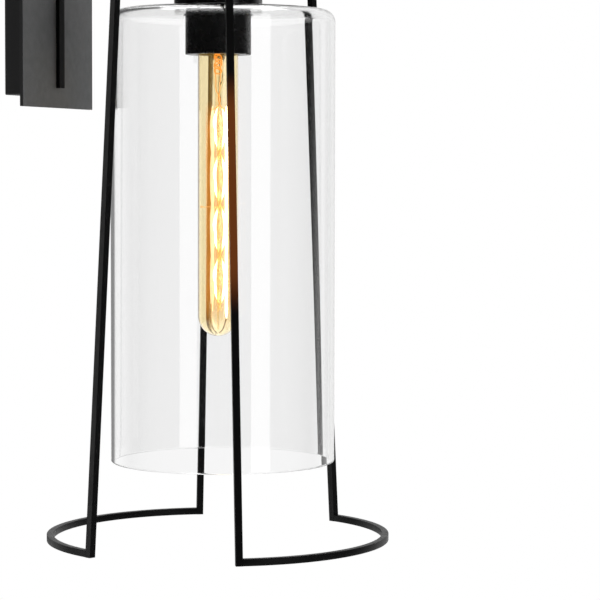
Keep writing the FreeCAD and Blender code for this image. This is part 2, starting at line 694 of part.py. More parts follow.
def wire_nut(x_side):
    """Tapered twist-on connector over the end of a lamp wire."""
    low = WIRE_NUT_TOP - WIRE_NUT_LENGTH
    nut = turned((0, low), [(2.6, low), ((3.3, low + 0.3), (3.5, low + 1.0)),
                            (WIRE_NUT_RADIUS - 0.4, low + 14), (WIRE_NUT_RADIUS, low + 15),
                            (WIRE_NUT_RADIUS, WIRE_NUT_TOP), (0, WIRE_NUT_TOP)])
    nut.translate(Vector(x_side * WIRE_NUT_X, WIRE_DEPTH, 0))
    return nut


# ---------------------------------------------------------------- all pieces

def save_wall_side():
    save("front_plate", front_plate())
    save("back_pan", back_pan())
    save("wall_gasket", wall_gasket())
    save("mounting_strap", mounting_strap())
    save("mounting_studs", mounting_studs())
    save("stud_nuts", stud_nuts())
    save("cap_nuts", cap_nuts())
    save("spine_screws", spine_screws())
    save("ground_screw", ground_screw())
    save("pan_lug_screw", pan_lug_screw())
    save("spine_bar", spine_bar())
    save("arm_tube", arm_tube())


def save_cage():
    sides = {"back": 1, "front": -1}
    hands = {"left": -1, "right": 1}
    for side, y_side in sides.items():
        legs = []
        for hand, x_side in hands.items():
            bar = leg(x_side, y_side)
            legs.append(bar)
            save("leg_" + side + "_" + hand, on_axis(bar))
            save("spoke_" + side + "_" + hand, on_axis(spoke(x_side, y_side, bar)))
        save("ring_arc_" + side, on_axis(ring_arc(y_side, legs)))
    save("hub_cup", on_axis(hub_cup()))
    save("hub_lid", on_axis(hub_lid()))
    save("finial", on_axis(finial()))


def save_lantern():
    save("stem_tube", on_axis(stem_tube()))
    save("threaded_nipple", on_axis(threaded_nipple()))
    save("lock_nuts", on_axis(lock_nuts()))
    save("glass_cap", on_axis(glass_cap()))
    save("cap_gasket", on_axis(cap_gasket()))
    save("socket_body", on_axis(socket_body()))
    save("socket_cap", on_axis(socket_cap()))
    save("socket_screw_shell", on_axis(socket_screw_shell()))
    save("centre_contact", on_axis(centre_contact()))
    save("terminal_screws", on_axis(terminal_screws()))
    save("glass_shade", on_axis(glass_shade()))
    save("collar_washer", on_axis(collar_washer()))
    save("shade_collar", on_axis(shade_collar()))


def save_lamp():
    save("lamp_envelope", on_axis(lamp_envelope()))
    save("lamp_base_shell", on_axis(lamp_base_shell()))
    save("lamp_insulator", on_axis(lamp_insulator()))
    save("lamp_contact", on_axis(lamp_contact()))
    save("lamp_stem", on_axis(lamp_stem()))
    save("lamp_support", on_axis(lamp_support()))
    save("lamp_filament", on_axis(lamp_filament()))


def save_wiring():
    save("wire_black", lamp_wire(-1))
    save("wire_white", lamp_wire(1))
    save("wire_ground", ground_wire())
    save("wire_nuts", Part.makeCompound([wire_nut(-1), wire_nut(1)]))


os.makedirs("parts", exist_ok=True)
save_wall_side()
save_cage()
save_lantern()
save_lamp()
save_wiring()
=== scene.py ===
import math
from math import cos, pi, radians, sin

import bmesh
import bpy
from mathutils import Matrix, Vector


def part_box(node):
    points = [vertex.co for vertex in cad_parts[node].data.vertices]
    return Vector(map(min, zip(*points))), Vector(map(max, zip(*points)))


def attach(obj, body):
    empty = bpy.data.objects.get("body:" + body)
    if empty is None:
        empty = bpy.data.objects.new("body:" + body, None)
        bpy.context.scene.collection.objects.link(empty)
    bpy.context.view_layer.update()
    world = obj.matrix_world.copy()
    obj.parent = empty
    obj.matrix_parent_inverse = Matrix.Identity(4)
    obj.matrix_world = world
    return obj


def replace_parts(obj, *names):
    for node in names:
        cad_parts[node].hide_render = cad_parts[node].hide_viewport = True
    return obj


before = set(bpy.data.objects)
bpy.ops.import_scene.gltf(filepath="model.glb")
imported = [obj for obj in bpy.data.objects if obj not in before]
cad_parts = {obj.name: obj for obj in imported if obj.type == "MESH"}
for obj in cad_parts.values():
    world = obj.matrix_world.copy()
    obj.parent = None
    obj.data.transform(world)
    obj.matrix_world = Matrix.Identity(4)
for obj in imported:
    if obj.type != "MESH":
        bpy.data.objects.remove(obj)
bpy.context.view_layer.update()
scene = bpy.context.scene

MM = 0.001
ROUND = 128                     # segments round a turned piece
HOLD = 0.12 * MM                # from a rounded corner to the point that keeps the next run flat
TOUCHING = 1e-7                 # points closer than this are one point
ORIGIN = Vector((0.0, 0.0, 0.0))
UP = Vector((0.0, 0.0, 1.0))
WHITE = (1.0, 1.0, 1.0)


# ---- places taken from the frame

def middle(node):
    low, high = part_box(node)
    return (Vector(low) + Vector(high)) / 2


def radius_of(node):
    low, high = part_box(node)
    return (high[0] - low[0]) / 2


def span(node):
    """The heights of a node's bottom and top."""
    low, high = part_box(node)
    return low[2], high[2]


def bottom_of(node):
    return span(node)[0]


def top_of(node):
    return span(node)[1]


def extent(node):
    """A round node's bottom, top and radius."""
    return (*span(node), radius_of(node))


AXIS = Vector((0.0, middle("lamp_envelope").y, 0.0))      # the socket and the lamp
GLASS_AXIS = Vector((0.0, middle("glass_shade").y, 0.0))  # the loose glass hangs a little further out
RING_BOTTOM = bottom_of("ring_arc_front")
LAMP_TIP = bottom_of("lamp_envelope")
LEGS = ["leg_" + side + "_" + hand for side in ("back", "front") for hand in ("left", "right")]
SPOKES = [name.replace("leg", "spoke") for name in LEGS]

ACROSS = Vector((0.309, -0.951, 0.0)).normalized()        # the filament's strands stand apart this way
FACING = Vector((ACROSS.y, -ACROSS.x, 0.0))               # and its broad side faces this way
FILAMENT_TWIST = 81.0 * MM      # height in which the wound strands go round once
FILAMENT_RADIUS = 4.3 * MM
FILAMENT_CENTRE = AXIS + ACROSS * 1.3 * MM                # a little to one side of the lamp's axis
CROSS_HEIGHT = LAMP_TIP + 102.4 * MM                      # of the wire cross that steadies the rod
LAMP_PITCH = 25.4 / 7 * MM      # the lamp's thread has seven turns to the inch
COLLAR_BORE = 19.3 * MM

BACKDROP = (0.951, 0.309, 0.0)  # from the camera's side to the white backdrop
BLACK_CARD = (0.766, 0.643, 0.0)  # beside the backdrop, where it draws the glass's outline
ROOM_DARK = 0.015
ROOM_BRIGHT = 0.9


# ---- mesh helpers

def add_object(name, mesh, body):
    piece = bpy.data.objects.new(name, mesh)
    scene.collection.objects.link(piece)
    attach(piece, body)
    return piece


def shade_smooth(mesh, sharp_degrees):
    """Smooth shading that leaves the real corners sharp."""
    for face in mesh.polygons:
        face.use_smooth = True
    mesh.set_sharp_from_angle(angle=radians(sharp_degrees))


def finish_mesh(name, maker, sharp_degrees):
    """Turns a bmesh into smooth-shaded mesh data."""
    bmesh.ops.remove_doubles(maker, verts=maker.verts, dist=TOUCHING)
    bmesh.ops.recalc_face_normals(maker, faces=maker.faces)
    mesh = bpy.data.meshes.new(name)
    maker.to_mesh(mesh)
    maker.free()
    shade_smooth(mesh, sharp_degrees)
    return mesh


def built(name, maker, body, sharp_degrees=60):
    return add_object(name, finish_mesh(name, maker, sharp_degrees), body)


def arc(centre_radius, centre_height, radius, start, end, steps):
    """Points of a round stretch of an outline; 0 degrees points outward and 90 up."""
    points = []
    for step in range(steps + 1):
        angle = radians(start + (end - start) * step / steps)
        points.append((centre_radius + radius * cos(angle), centre_height + radius * sin(angle)))
    return points


def bowed(width, base, rise, degrees):
    """Points of a quarter oval that starts at width and base and closes in as it rises."""
    angles = [radians(angle) for angle in degrees]
    return [(width * cos(angle), base + rise * sin(angle)) for angle in angles]


def rounded_bar(inner, outer, low, high, ease, steps):
    """The outline of a bar's section, with all four corners eased."""
    corners = ((inner + ease, low + ease, 180), (outer - ease, low + ease, 270),
               (outer - ease, high - ease, 0), (inner + ease, high - ease, 90))
    return [point for x, y, start in corners for point in arc(x, y, ease, start, start + 90, steps)]


def held(outline, closed):
    """Adds points close to the ends of long runs, so that smooth shading doesn't bend the flat part."""
    following = outline[1:] + (outline[:1] if closed else [])
    result = []
    for here, there in zip(outline, following):
        result.append(here)
        length = math.dist(here, there)
        if length > 8 * HOLD:
            share = HOLD / length
            for part in (share, 1 - share):
                result.append(tuple(a + (b - a) * part for a, b in zip(here, there)))
    if not closed:
        result.append(outline[-1])
    return result


def ring_of(maker, centre, height, radius_at, segments):
    """A level ring of points whose radius may change with the angle."""
    ring = []
    for step in range(segments):
        angle = 2 * pi * step / segments
        x = centre.x + radius_at(angle) * cos(angle)
        y = centre.y + radius_at(angle) * sin(angle)
        ring.append(maker.verts.new((x, y, height)))
    return ring


def bridge(maker, lower, upper):
    """Faces between two rings of points, one of which may be a single point on the axis."""
    count = max(len(lower), len(upper))
    for step in range(count if count > 1 else 0):
        after = (step + 1) % count
        if len(lower) == 1:
            maker.faces.new((lower[0], upper[after], upper[step]))
        elif len(upper) == 1:
            maker.faces.new((lower[step], lower[after], upper[0]))
        else:
            maker.faces.new((lower[step], lower[after], upper[after], upper[step]))


def close_ends(maker, rings):
    maker.faces.new(list(reversed(rings[0])))
    maker.faces.new(rings[-1])


def turned_mesh(maker, outline, centre, closed=True, segments=ROUND, wobble=None):
    """Turns an outline of (radius, height) points round a vertical line through centre."""
    rings = []
    for radius, height in held(outline, closed):
        def reach(angle):
            return radius * (wobble(angle, height) if wobble else 1.0)

        rings.append(ring_of(maker, centre, height, reach, 1 if radius < TOUCHING else segments))
    for lower, upper in zip(rings, rings[1:]):
        bridge(maker, lower, upper)
    if closed:
        bridge(maker, rings[-1], rings[0])


def turned(name, outline, body, centre=AXIS, segments=ROUND, wobble=None):
    """A turned piece.  Its outline is a closed loop, unless it starts and ends on the axis."""
    maker = bmesh.new()
    turned_mesh(maker, outline, centre, outline[0][0] > 0.0, segments, wobble)
    return built(name, maker, body, 32)


def tube_mesh(maker, points, radius, sides=12):
    """A round wire through points, with one radius or one for each point."""
    tangents = []
    for index, point in enumerate(points):
        before = points[max(index - 1, 0)]
        after = points[min(index + 1, len(points) - 1)]
        tangents.append((after - before).normalized())
    side = tangents[0].orthogonal().normalized()
    radii = radius if isinstance(radius, list) else [radius] * len(points)
    rings = []
    for point, tangent, reach in zip(points, tangents, radii):
        side = (side - tangent * side.dot(tangent)).normalized()
        other = tangent.cross(side)
        rings.append([maker.verts.new(point + reach * (cos(angle) * side + sin(angle) * other))
                      for angle in (2 * pi * step / sides for step in range(sides))])
    for lower, upper in zip(rings, rings[1:]):
        bridge(maker, lower, upper)
    close_ends(maker, rings)


def tapered(points, radii, length):
    """Thins an upright strand's radii towards both of its ends."""
    low = points[0].z
    high = points[-1].z
    thinned = []
    for point, radius in zip(points, radii):
        nearest = min(point.z - low, high - point.z)
        thinned.append(radius * (0.3 + 0.7 * min(1.0, max(0.0, nearest / length))))
    return thinned


def upright(place, low, high, steps):
    """Points of a straight strand that stands at a place."""
    return [Vector((place.x, place.y, low + (high - low) * step / steps)) for step in range(steps + 1)]


def helix(centre, radius, low, high, pitch, phase, steps):
    points = []
    for point in upright(centre, low, high, steps):
        angle = phase + 2 * pi * (point.z - low) / pitch
        points.append(point + Vector((radius * cos(angle), radius * sin(angle), 0.0)))
    return points


def bend_through(points, steps=10):
    """Smooth curve through points, for short wires."""
    result = []
    ends = [points[0] * 2 - points[1]] + points + [points[-1] * 2 - points[-2]]
    for a, b, c, d in zip(ends, ends[1:], ends[2:], ends[3:]):
        for step in range(steps):
            t = step / steps
            result.append(0.5 * ((2 * b) + (c - a) * t + (2 * a - 5 * b + 4 * c - d) * t * t
                                 + (3 * b - a - 3 * c + d) * t ** 3))
    result.append(points[-1])
    return result


def threaded_mesh(maker, centre, radius, depth, pitch, low, high, segments, per_turn):
    """A rolled screw thread: a sleeve whose radius rises and falls along a helix."""
    rows = max(4, int(per_turn * (high - low) / pitch))
    rings = []
    for row in range(rows + 1):
        height = low + (high - low) * row / rows
        turn = 2 * pi * height / pitch

        def wave(angle):
            return radius - depth / 2 + depth / 2 * cos(turn - angle)

        rings.append(ring_of(maker, centre, height, wave, segments))
    for lower, upper in zip(rings, rings[1:]):
        bridge(maker, lower, upper)
    return rings


def soften(node, width):
    """Rounds a piece's sharp edges with a modifier."""
    bevel = node.modifiers.new("soft_edges", "BEVEL")
    bevel.width = width
    bevel.segments = 2
    bevel.limit_method = "ANGLE"
    bevel.angle_limit = radians(35)


def thicken(piece, thickness):
    skin = piece.modifiers.new("thickness", "SOLIDIFY")
    skin.thickness = thickness


# ---- node helpers

def opaque(colour):
    return (*colour, 1.0)


def scaled(colour, factor):
    return tuple(factor * channel for channel in colour)


class Nodes:
    """The node building blocks that the materials and the world share."""

    def __init__(self, tree):
        self.nodes = tree.nodes
        self.links = tree.links

    def node(self, kind, inputs=None):
        node = self.nodes.new("ShaderNode" + kind)
        for socket, value in (inputs or {}).items():
            self.feed(node.inputs[socket], value)
        return node

    def feed(self, socket, value):
        """Gives a socket another node's output or a constant."""
        if isinstance(value, bpy.types.NodeSocket):
            self.links.new(value, socket)
        else:
            socket.default_value = value

    def ranged(self, value, from_low, from_high, to_low=0.0, to_high=1.0, smooth=False):
        node = self.node("MapRange", {"Value": value, "From Min": from_low, "From Max": from_high,
                                      "To Min": to_low, "To Max": to_high})
        if smooth:
            node.interpolation_type = "SMOOTHSTEP"
        return node.outputs["Result"]

    def maths(self, operation, first, second):
        node = self.node("Math", {0: first, 1: second})
        node.operation = operation
        node.use_clamp = True
        return node.outputs["Value"]

    def product(self, first, second):
        return self.maths("MULTIPLY", first, second)

    def dot(self, first, second):
        node = self.node("VectorMath", {0: first, 1: second})
        node.operation = "DOT_PRODUCT"
        return node.outputs["Value"]

    def upward_part(self, vector):
        return self.node("SeparateXYZ", {"Vector": vector}).outputs["Z"]

    def mixed(self, factor, low, high):
        mix = self.node("MixShader", {"Fac": factor, 1: low, 2: high})
        return mix.outputs["Shader"]


class Shader(Nodes):
    """One node material."""

    def __init__(self, name, base, roughness, metallic=0.0):
        self.material = bpy.data.materials.new(name)
        self.material.use_nodes = True
        super().__init__(self.material.node_tree)
        self.bsdf = self.nodes["Principled BSDF"]
        self.output = self.nodes["Material Output"]
        self.set("Base Color", opaque(base))
        self.set("Roughness", roughness)
        self.set("Metallic", metallic)
        self.place = self.node("TexCoord").outputs["Object"]

    def set(self, socket, value):
        self.feed(self.bsdf.inputs[socket], value)

    def emit(self, glow, strength):
        self.set("Emission Color", opaque(glow))
        self.set("Emission Strength", strength)

    def stretched(self, share):
        """Object coordinates that count for less along Z, for grain and streaks that run up and down."""
        return self.node("Mapping", {"Scale": (1.0, 1.0, share), "Vector": self.place}).outputs["Vector"]

    def noise(self, scale, detail=4.0, roughness=0.55, place=None):
        return self.node("TexNoise", {"Scale": scale, "Detail": detail, "Roughness": roughness,
                                      "Vector": place or self.place}).outputs["Fac"]

    def cells(self, scale):
        return self.node("TexVoronoi", {"Scale": scale, "Vector": self.place}).outputs["Distance"]

    def roughen(self, value, low, high, start=0.3, stop=0.7):
        self.set("Roughness", self.ranged(value, start, stop, low, high))

    def tint(self, factor, low, high):
        self.set("Base Color", self.blend(factor, low, high))

    def blend(self, factor, low, high):
        """Colour between two constants or colour outputs by a factor."""
        node = self.node("Mix", {"Factor": factor})
        node.data_type = "RGBA"
        for socket, value in ((node.inputs[6], low), (node.inputs[7], high)):
            self.feed(socket, opaque(value) if isinstance(value, tuple) else value)
        return node.outputs[2]

    def bump(self, height, strength, distance, under=None):
        node = self.node("Bump", {"Strength": strength, "Distance": distance, "Height": height})
        if under is not None:
            self.feed(node.inputs["Normal"], under)
        self.set("Normal", node.outputs["Normal"])
        return node.outputs["Normal"]

    def edges(self, radius, gain):
        """A mask that is 1 on sharp edges and 0 on flat faces."""
        rounded = self.node("Bevel", {"Radius": radius})
        rounded.samples = 4
        plain = self.node("NewGeometry")
        agreement = self.dot(rounded.outputs["Normal"], plain.outputs["Normal"])
        return self.ranged(agreement, 1.0, 1.0 - gain)

    def dusty(self, low, high):
        """A mask that is 1 on faces that look up, where dust settles."""
        plain = self.node("NewGeometry")
        return self.ranged(self.upward_part(plain.outputs["Normal"]), low, high)


# ---- materials

def powder_coat(name, base, worn, roughness, gloss, peel=1.0, painted_glow=None):
    """Powder-coated metal: fine orange peel, uneven sheen, rubbed edges and a little dust on top.

    Painted glow, where it is given, is painted light: the lamp's warm light painted on the coat as an
    orange glow between two heights."""
    shader = Shader(name, base, roughness)
    shader.set("Specular IOR Level", gloss)
    patches = shader.ranged(shader.noise(38.0, 3.0), 0.45, 0.65, 0.0, 0.5)
    rubbed = shader.product(shader.edges(0.5 * MM, 0.3), patches)
    speck = shader.noise(900.0, 2.0)
    dust = shader.product(shader.dusty(0.75, 0.98), shader.ranged(speck, 0.45, 0.75, 0.0, 0.12))
    tone = shader.blend(shader.ranged(speck, 0.3, 0.7), scaled(base, 0.92), scaled(base, 1.08))
    tone = shader.blend(rubbed, tone, worn)
    shader.tint(dust, tone, (0.2, 0.2, 0.2))
    shader.roughen(shader.noise(140.0), roughness - 0.04, roughness + 0.05)
    grain = shader.bump(shader.noise(2600.0, 2.0), 0.18 * peel, 0.08 * MM)
    shader.bump(shader.noise(420.0, 3.0), 0.06 * peel, 0.25 * MM, grain)
    # painted light: the lamp's warm glow is painted on as emission in a band of heights
    if painted_glow:
        glow, strength, low, high = painted_glow
        height = shader.upward_part(shader.place)
        lit = shader.product(shader.ranged(height, low, low + 38 * MM, smooth=True),
                             shader.ranged(height, high, high - 34 * MM, smooth=True))
        shader.emit(glow, shader.product(lit, strength))
    return shader.material


def plated_metal(name, base, roughness, spangle):
    """Zinc or brass plating: crystal patches, fine drawn lines and slight tarnish."""
    shader = Shader(name, base, roughness, 1.0)
    tarnish = shader.ranged(shader.noise(90.0, 5.0), 0.35, 0.7, 0.0, 0.7)
    shader.tint(tarnish, base, scaled(base, 0.55))
    shader.roughen(shader.cells(spangle), roughness - 0.08, roughness + 0.14, 0.0, 0.8)
    shader.bump(shader.noise(1600.0, 3.0, 0.6, shader.stretched(0.12)), 0.15, 0.05 * MM)
    return shader.material


def moulded(name, base, roughness, grain):
    """Moulded plastic: faint flow variation and a fine eroded grain."""
    shader = Shader(name, base, roughness)
    flow = shader.ranged(shader.noise(60.0, 3.0), 0.3, 0.7)
    shader.tint(flow, base, tuple(0.8 * channel + 0.01 for channel in base))
    shader.roughen(shader.noise(300.0, 2.0), roughness - 0.05, roughness + 0.08)
    shader.bump(shader.noise(grain, 2.0), 0.2, 0.08 * MM)
    return shader.material


def rubbery(name, base, roughness, pores, through=0.0):
    """Foam or silicone: open pores darkened with painted shade, and a soft, uneven surface that may let
    some light through.
    """
    shader = Shader(name, base, roughness)
    shader.set("Transmission Weight", through)
    cell = shader.cells(pores)
    # painted shade: darker in the pores, which are the dips of the bump below
    shader.tint(shader.ranged(cell, 0.1, 0.6), scaled(base, 0.6), base)
    shader.roughen(shader.noise(200.0), roughness - 0.05, roughness + 0.05)
    shader.bump(cell, 0.5, 0.25 * MM)
    return shader.material


def see_through(name, tint, ior, waves, film, shade, glow=None):
    """Clear or tinted glass.  Lamps shine through it: shadow rays pass, dimmed by the shade.  A glow, where
    it is given, is painted light: the filament's light in the glass painted on as a faint emission.
    """
    shader = Shader(name, tint, 0.0)
    shader.set("Transmission Weight", 1.0)
    shader.set("IOR", ior)
    streaks = shader.noise(26.0, 4.0, 0.6, shader.stretched(0.3))
    shader.roughen(streaks, 0.0, film, 0.52, 0.75)
    shader.bump(shader.noise(waves, 1.0, 0.4, shader.stretched(0.35)), 0.05, 0.2 * MM)
    # painted light: the glass glows faintly though it is no lamp
    if glow:
        shader.emit(*glow)
    clear = shader.node("BsdfTransparent", {"Color": opaque(shade)})
    shadow = shader.node("LightPath").outputs["Is Shadow Ray"]
    surface = shader.mixed(shadow, shader.bsdf.outputs["BSDF"], clear.outputs["BSDF"])
    shader.feed(shader.output.inputs["Surface"], surface)
    return shader.material


def glowing(name, cool, hot, low, high, reach):
    """Hot filament: dull orange where the strands cross, white-hot where they stand out to the sides."""
    shader = Shader(name, (0.9, 0.6, 0.3), 0.5)
    side = shader.node("VectorMath", {0: shader.place, 1: FILAMENT_CENTRE})
    side.operation = "SUBTRACT"
    apart = shader.node("Math", {0: shader.dot(side.outputs["Vector"], ACROSS)})
    apart.operation = "ABSOLUTE"
    spread = shader.ranged(apart.outputs["Value"], 0.25 * reach, 0.85 * reach)
    patch = shader.ranged(shader.noise(120.0, 2.0), 0.35, 0.65, 0.55, 1.0)
    heat = shader.product(spread, patch)
    shader.set("Emission Color", shader.blend(shader.ranged(heat, 0.0, 0.35), cool, hot))
    shader.set("Emission Strength", shader.ranged(heat, 0.0, 1.0, low, high))
    shader.bump(shader.noise(5000.0, 1.0), 0.3, 0.05 * MM)
    return shader.material


def painted_haze(name, glow, strength, cover, low, high, fade):
    """Painted light: the soft orange glow round the hot strands, painted on a see-through form as emission,
    fading towards both ends.
    """
    shader = Shader(name, (0.0, 0.0, 0.0), 1.0)
    shader.set("Specular IOR Level", 0.0)
    shader.emit(glow, strength)
    swirl = shader.noise(90.0, 3.0, 0.6, shader.stretched(0.6))
    height = shader.upward_part(shader.place)
    ends = shader.product(shader.ranged(height, low, low + fade), shader.ranged(height, high, high - fade))
    veil = shader.ranged(swirl, 0.3, 0.7, 0.6 * cover, 1.4 * cover)
    shader.set("Alpha", shader.product(ends, veil))
    return shader.material


def wire_with_painted_glow(name, base, glow, strength):
    """Bare support wire, heat-stained, with the filament's light on it painted as a glow."""
    shader = Shader(name, base, 0.35, 1.0)
    stain = shader.noise(400.0, 3.0)
    shader.tint(shader.ranged(stain, 0.3, 0.7), base, scaled(base, 0.5))
    # painted light: the filament's light on the wire, painted as emission
    shader.emit(glow, strength)
    shader.roughen(stain, 0.25, 0.5)
    return shader.material


BLACK_LOOK = ((0.0022, 0.0022, 0.0023), (0.015, 0.015, 0.015), 0.38, 0.09)
# painted lamp light: the glow's colour, its strength and the band of heights where it is painted on the
# coat
PAINTED_LAMP_GLOW = ((1.0, 0.25, 0.036), 0.12, LAMP_TIP + 24 * MM, LAMP_TIP + 208 * MM)
MATT_BLACK = powder_coat("matt_black_coat", (0.0035, 0.0035, 0.0037), (0.02, 0.02, 0.02), 0.55, 0.02)
BLACK = powder_coat("black_powder_coat", *BLACK_LOOK)
DEEP_BLACK = powder_coat("deep_black_coat", (0.0010, 0.0010, 0.0011), (0.01, 0.01, 0.01), 0.26, 0.30)
BLACK_WITH_PAINTED_GLOW = powder_coat("coat_with_painted_lamp_glow", *BLACK_LOOK, painted_glow=PAINTED_LAMP_GLOW)
CHARCOAL = powder_coat("charcoal_powder_coat", (0.045, 0.045, 0.046), (0.09, 0.09, 0.09), 0.55, 0.25, 0.7)
CLEAR = see_through("clear_glass", WHITE, 1.50, 9.0, 0.02, (0.92, 0.93, 0.93))
# the lamp's amber glass, with the filament's light painted in as a faint orange glow
AMBER_GLASS_WITH_PAINTED_GLOW = see_through("amber_glass", (1.0, 0.94, 0.74), 1.46, 30.0, 0.03, (1.0, 0.9, 0.7),
                    glow=((1.0, 0.62, 0.16), 0.035))
STEM_GLASS = see_through("stem_glass", (1.0, 0.90, 0.72), 1.22, 80.0, 0.05, (1.0, 0.9, 0.75))
FILAMENT = glowing("hot_filament", (1.0, 0.42, 0.09), (1.0, 0.78, 0.46), 0.9, 16.0, FILAMENT_RADIUS)
CREAM = glowing("warm_strand", (1.0, 0.50, 0.14), (1.0, 0.84, 0.66), 0.7, 1.45, 0.6 * FILAMENT_RADIUS)
PAINTED_HAZE = painted_haze("painted_warm_glow", (1.0, 0.34, 0.05), 1.0, 0.27, bottom_of("lamp_filament") - 6 * MM,
            top_of("lamp_filament") + 10 * MM, 22 * MM)
# the wires round the filament glow with painted light from the filament
LEAD = wire_with_painted_glow("lead_wire", (0.80, 0.30, 0.07), (1.0, 0.36, 0.05), 0.85)
SPIDER = wire_with_painted_glow("support_wire", (0.7, 0.5, 0.28), (1.0, 0.50, 0.14), 0.7)
COIL = wire_with_painted_glow("coil_wire", (0.62, 0.54, 0.42), (1.0, 0.76, 0.42), 0.22)
HOOK = wire_with_painted_glow("hook_wire", (0.26, 0.14, 0.06), (1.0, 0.40, 0.08), 0.05)
ZINC = plated_metal("zinc_plate", (0.60, 0.61, 0.62), 0.34, 260.0)
BRASS = plated_metal("brass", (0.72, 0.52, 0.24), 0.28, 500.0)
SOLDER = plated_metal("solder", (0.55, 0.55, 0.53), 0.40, 900.0)
GREEN_ZINC = plated_metal("green_zinc", (0.05, 0.28, 0.09), 0.36, 300.0)
PHENOLIC = moulded("phenolic", (0.012, 0.012, 0.012), 0.42, 1500.0)
VITRITE = moulded("black_insulator", (0.01, 0.01, 0.012), 0.12, 600.0)
ORANGE_PLASTIC = moulded("orange_plastic", (0.80, 0.22, 0.02), 0.32, 900.0)
WIRE_BLACK = moulded("wire_black", (0.012, 0.012, 0.012), 0.38, 1200.0)
WIRE_WHITE = moulded("wire_white", (0.74, 0.73, 0.70), 0.38, 1200.0)
WIRE_GREEN = moulded("wire_green", (0.03, 0.26, 0.07), 0.38, 1200.0)
FOAM = rubbery("closed_foam", (0.035, 0.035, 0.036), 0.85, 1400.0)
SILICONE = rubbery("silicone", (0.42, 0.43, 0.43), 0.45, 2500.0, 0.5)


def paint(piece, material):
    piece.data.materials.clear()
    piece.data.materials.append(material)
    return piece


def slotted(piece, material):
    paint(piece, material)
    return piece


def stand_in(piece, node, material=BLACK):
    """Paints a piece that takes a CAD node's place."""
    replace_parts(paint(piece, material), node)
    return piece


# ---- CAD pieces that keep their shape

CAD_LOOKS = {                   # each node's material and the width of its softened edges in millimetres
    "front_plate": (CHARCOAL, 0.5), "back_pan": (CHARCOAL, 0.5), "spine_bar": (MATT_BLACK, 0.35),
    "arm_tube": (BLACK, 0.4), "hub_cup": (BLACK, 0.5), "wall_gasket": (FOAM, 0.0),
    "mounting_strap": (ZINC, 0.25), "stud_nuts": (ZINC, 0.2), "ground_screw": (GREEN_ZINC, 0.25),
    "lock_nuts": (ZINC, 0.2), "socket_body": (PHENOLIC, 0.3), "socket_cap": (PHENOLIC, 0.3),
    "centre_contact": (BRASS, 0.1), "terminal_screws": (BRASS, 0.15),
    "wire_black": (WIRE_BLACK, 0.0), "wire_white": (WIRE_WHITE, 0.0), "wire_ground": (WIRE_GREEN, 0.0),
}
CAD_LOOKS.update({name: (BLACK, 0.35) for name in LEGS + SPOKES})
# the leg beside the lamp gets the coat with the lamp's warm light painted on
CAD_LOOKS["leg_front_left"] = (BLACK_WITH_PAINTED_GLOW, 0.35)


def dress_cad_pieces():
    for name, (material, edge) in CAD_LOOKS.items():
        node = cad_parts[name]
        paint(node, material)
        if edge:
            soften(node, edge * MM)


# ---- cage

def make_ring_arc(side, direction):
    """Half of the open ring: a square bar with eased edges, bent round the lantern's axis."""
    node = "ring_arc_" + side
    low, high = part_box(node)
    bar = high[2] - low[2]
    outer = abs(high[1] - AXIS.y) if direction > 0 else abs(low[1] - AXIS.y)
    half_angle = math.asin(min(1.0, radius_of(node) / outer))
    outline = rounded_bar(outer - bar, outer, low[2], high[2], 0.45 * MM, 3)
    steps = 120
    maker = bmesh.new()
    sections = []
    for step in range(steps + 1):
        angle = direction * pi / 2 + half_angle * (2 * step / steps - 1)
        outward = Vector((cos(angle), sin(angle), 0.0))
        sections.append([maker.verts.new(AXIS + outward * reach + UP * height)
                         for reach, height in outline])
    for here, there in zip(sections, sections[1:]):
        bridge(maker, here, there)
    close_ends(maker, sections)
    stand_in(built("ring_bar_" + side, maker, "fixture", 32), node)


# ---- hub, stem and cap

def make_finial():
    """A ball on a short neck with a foot and a bead."""
    seat = top_of("hub_lid")
    top = top_of("finial")
    ball = 6.4 * MM
    bead = 0.5 * MM
    neck = 3.1 * MM
    outline = [(0.0, seat - 1 * MM), (4.0 * MM, seat - 1 * MM)] + arc(3.5 * MM, seat + bead, bead, 0, 90, 3)
    outline += [(neck, seat + 1.6 * MM)] + arc(neck + 0.2 * MM, seat + 3.4 * MM, bead, -80, 80, 4)
    outline += [(neck, seat + 4.6 * MM)] + arc(0.0, top - ball, ball, -58, 90, 18)[:-1] + [(0.0, top)]
    stand_in(turned("finial_knob", outline, "fixture"), "finial")


def make_hub_lid():
    """A low dome over a beaded rim."""
    edge = radius_of("hub_lid")
    base = top_of("hub_cup")
    top = top_of("hub_lid")
    bead = 0.5 * MM
    shoulder = base + 1.4 * MM
    flat = top - 0.1 * MM
    outline = [(0.0, base)] + arc(edge - bead, base + bead, bead, -90, 0, 4)
    outline += arc(edge - bead, base + 2 * bead, bead, 0, 60, 4)
    outline += [(edge * (1 - share), shoulder + (top - shoulder) * sin(share * pi / 2))
                for share in (0.08, 0.2, 0.35, 0.5, 0.65, 0.8)]
    outline += [(4.2 * MM, flat), (0.0, flat)]
    stand_in(turned("hub_dome", outline, "fixture"), "hub_lid")


def make_stem_cover():
    """A thin tube with a slightly wider band at each end."""
    low, high, outer = extent("stem_tube")
    inner = outer - 1 * MM
    waist = outer - 0.3 * MM
    band = 3 * MM
    slope = 0.6 * MM
    outline = [(inner, low), (outer, low), (outer, low + band), (waist, low + band + slope),
               (waist, high - band - slope), (outer, high - band), (outer, high), (inner, high)]
    stand_in(turned("stem_cover", outline, "fixture", segments=64), "stem_tube")


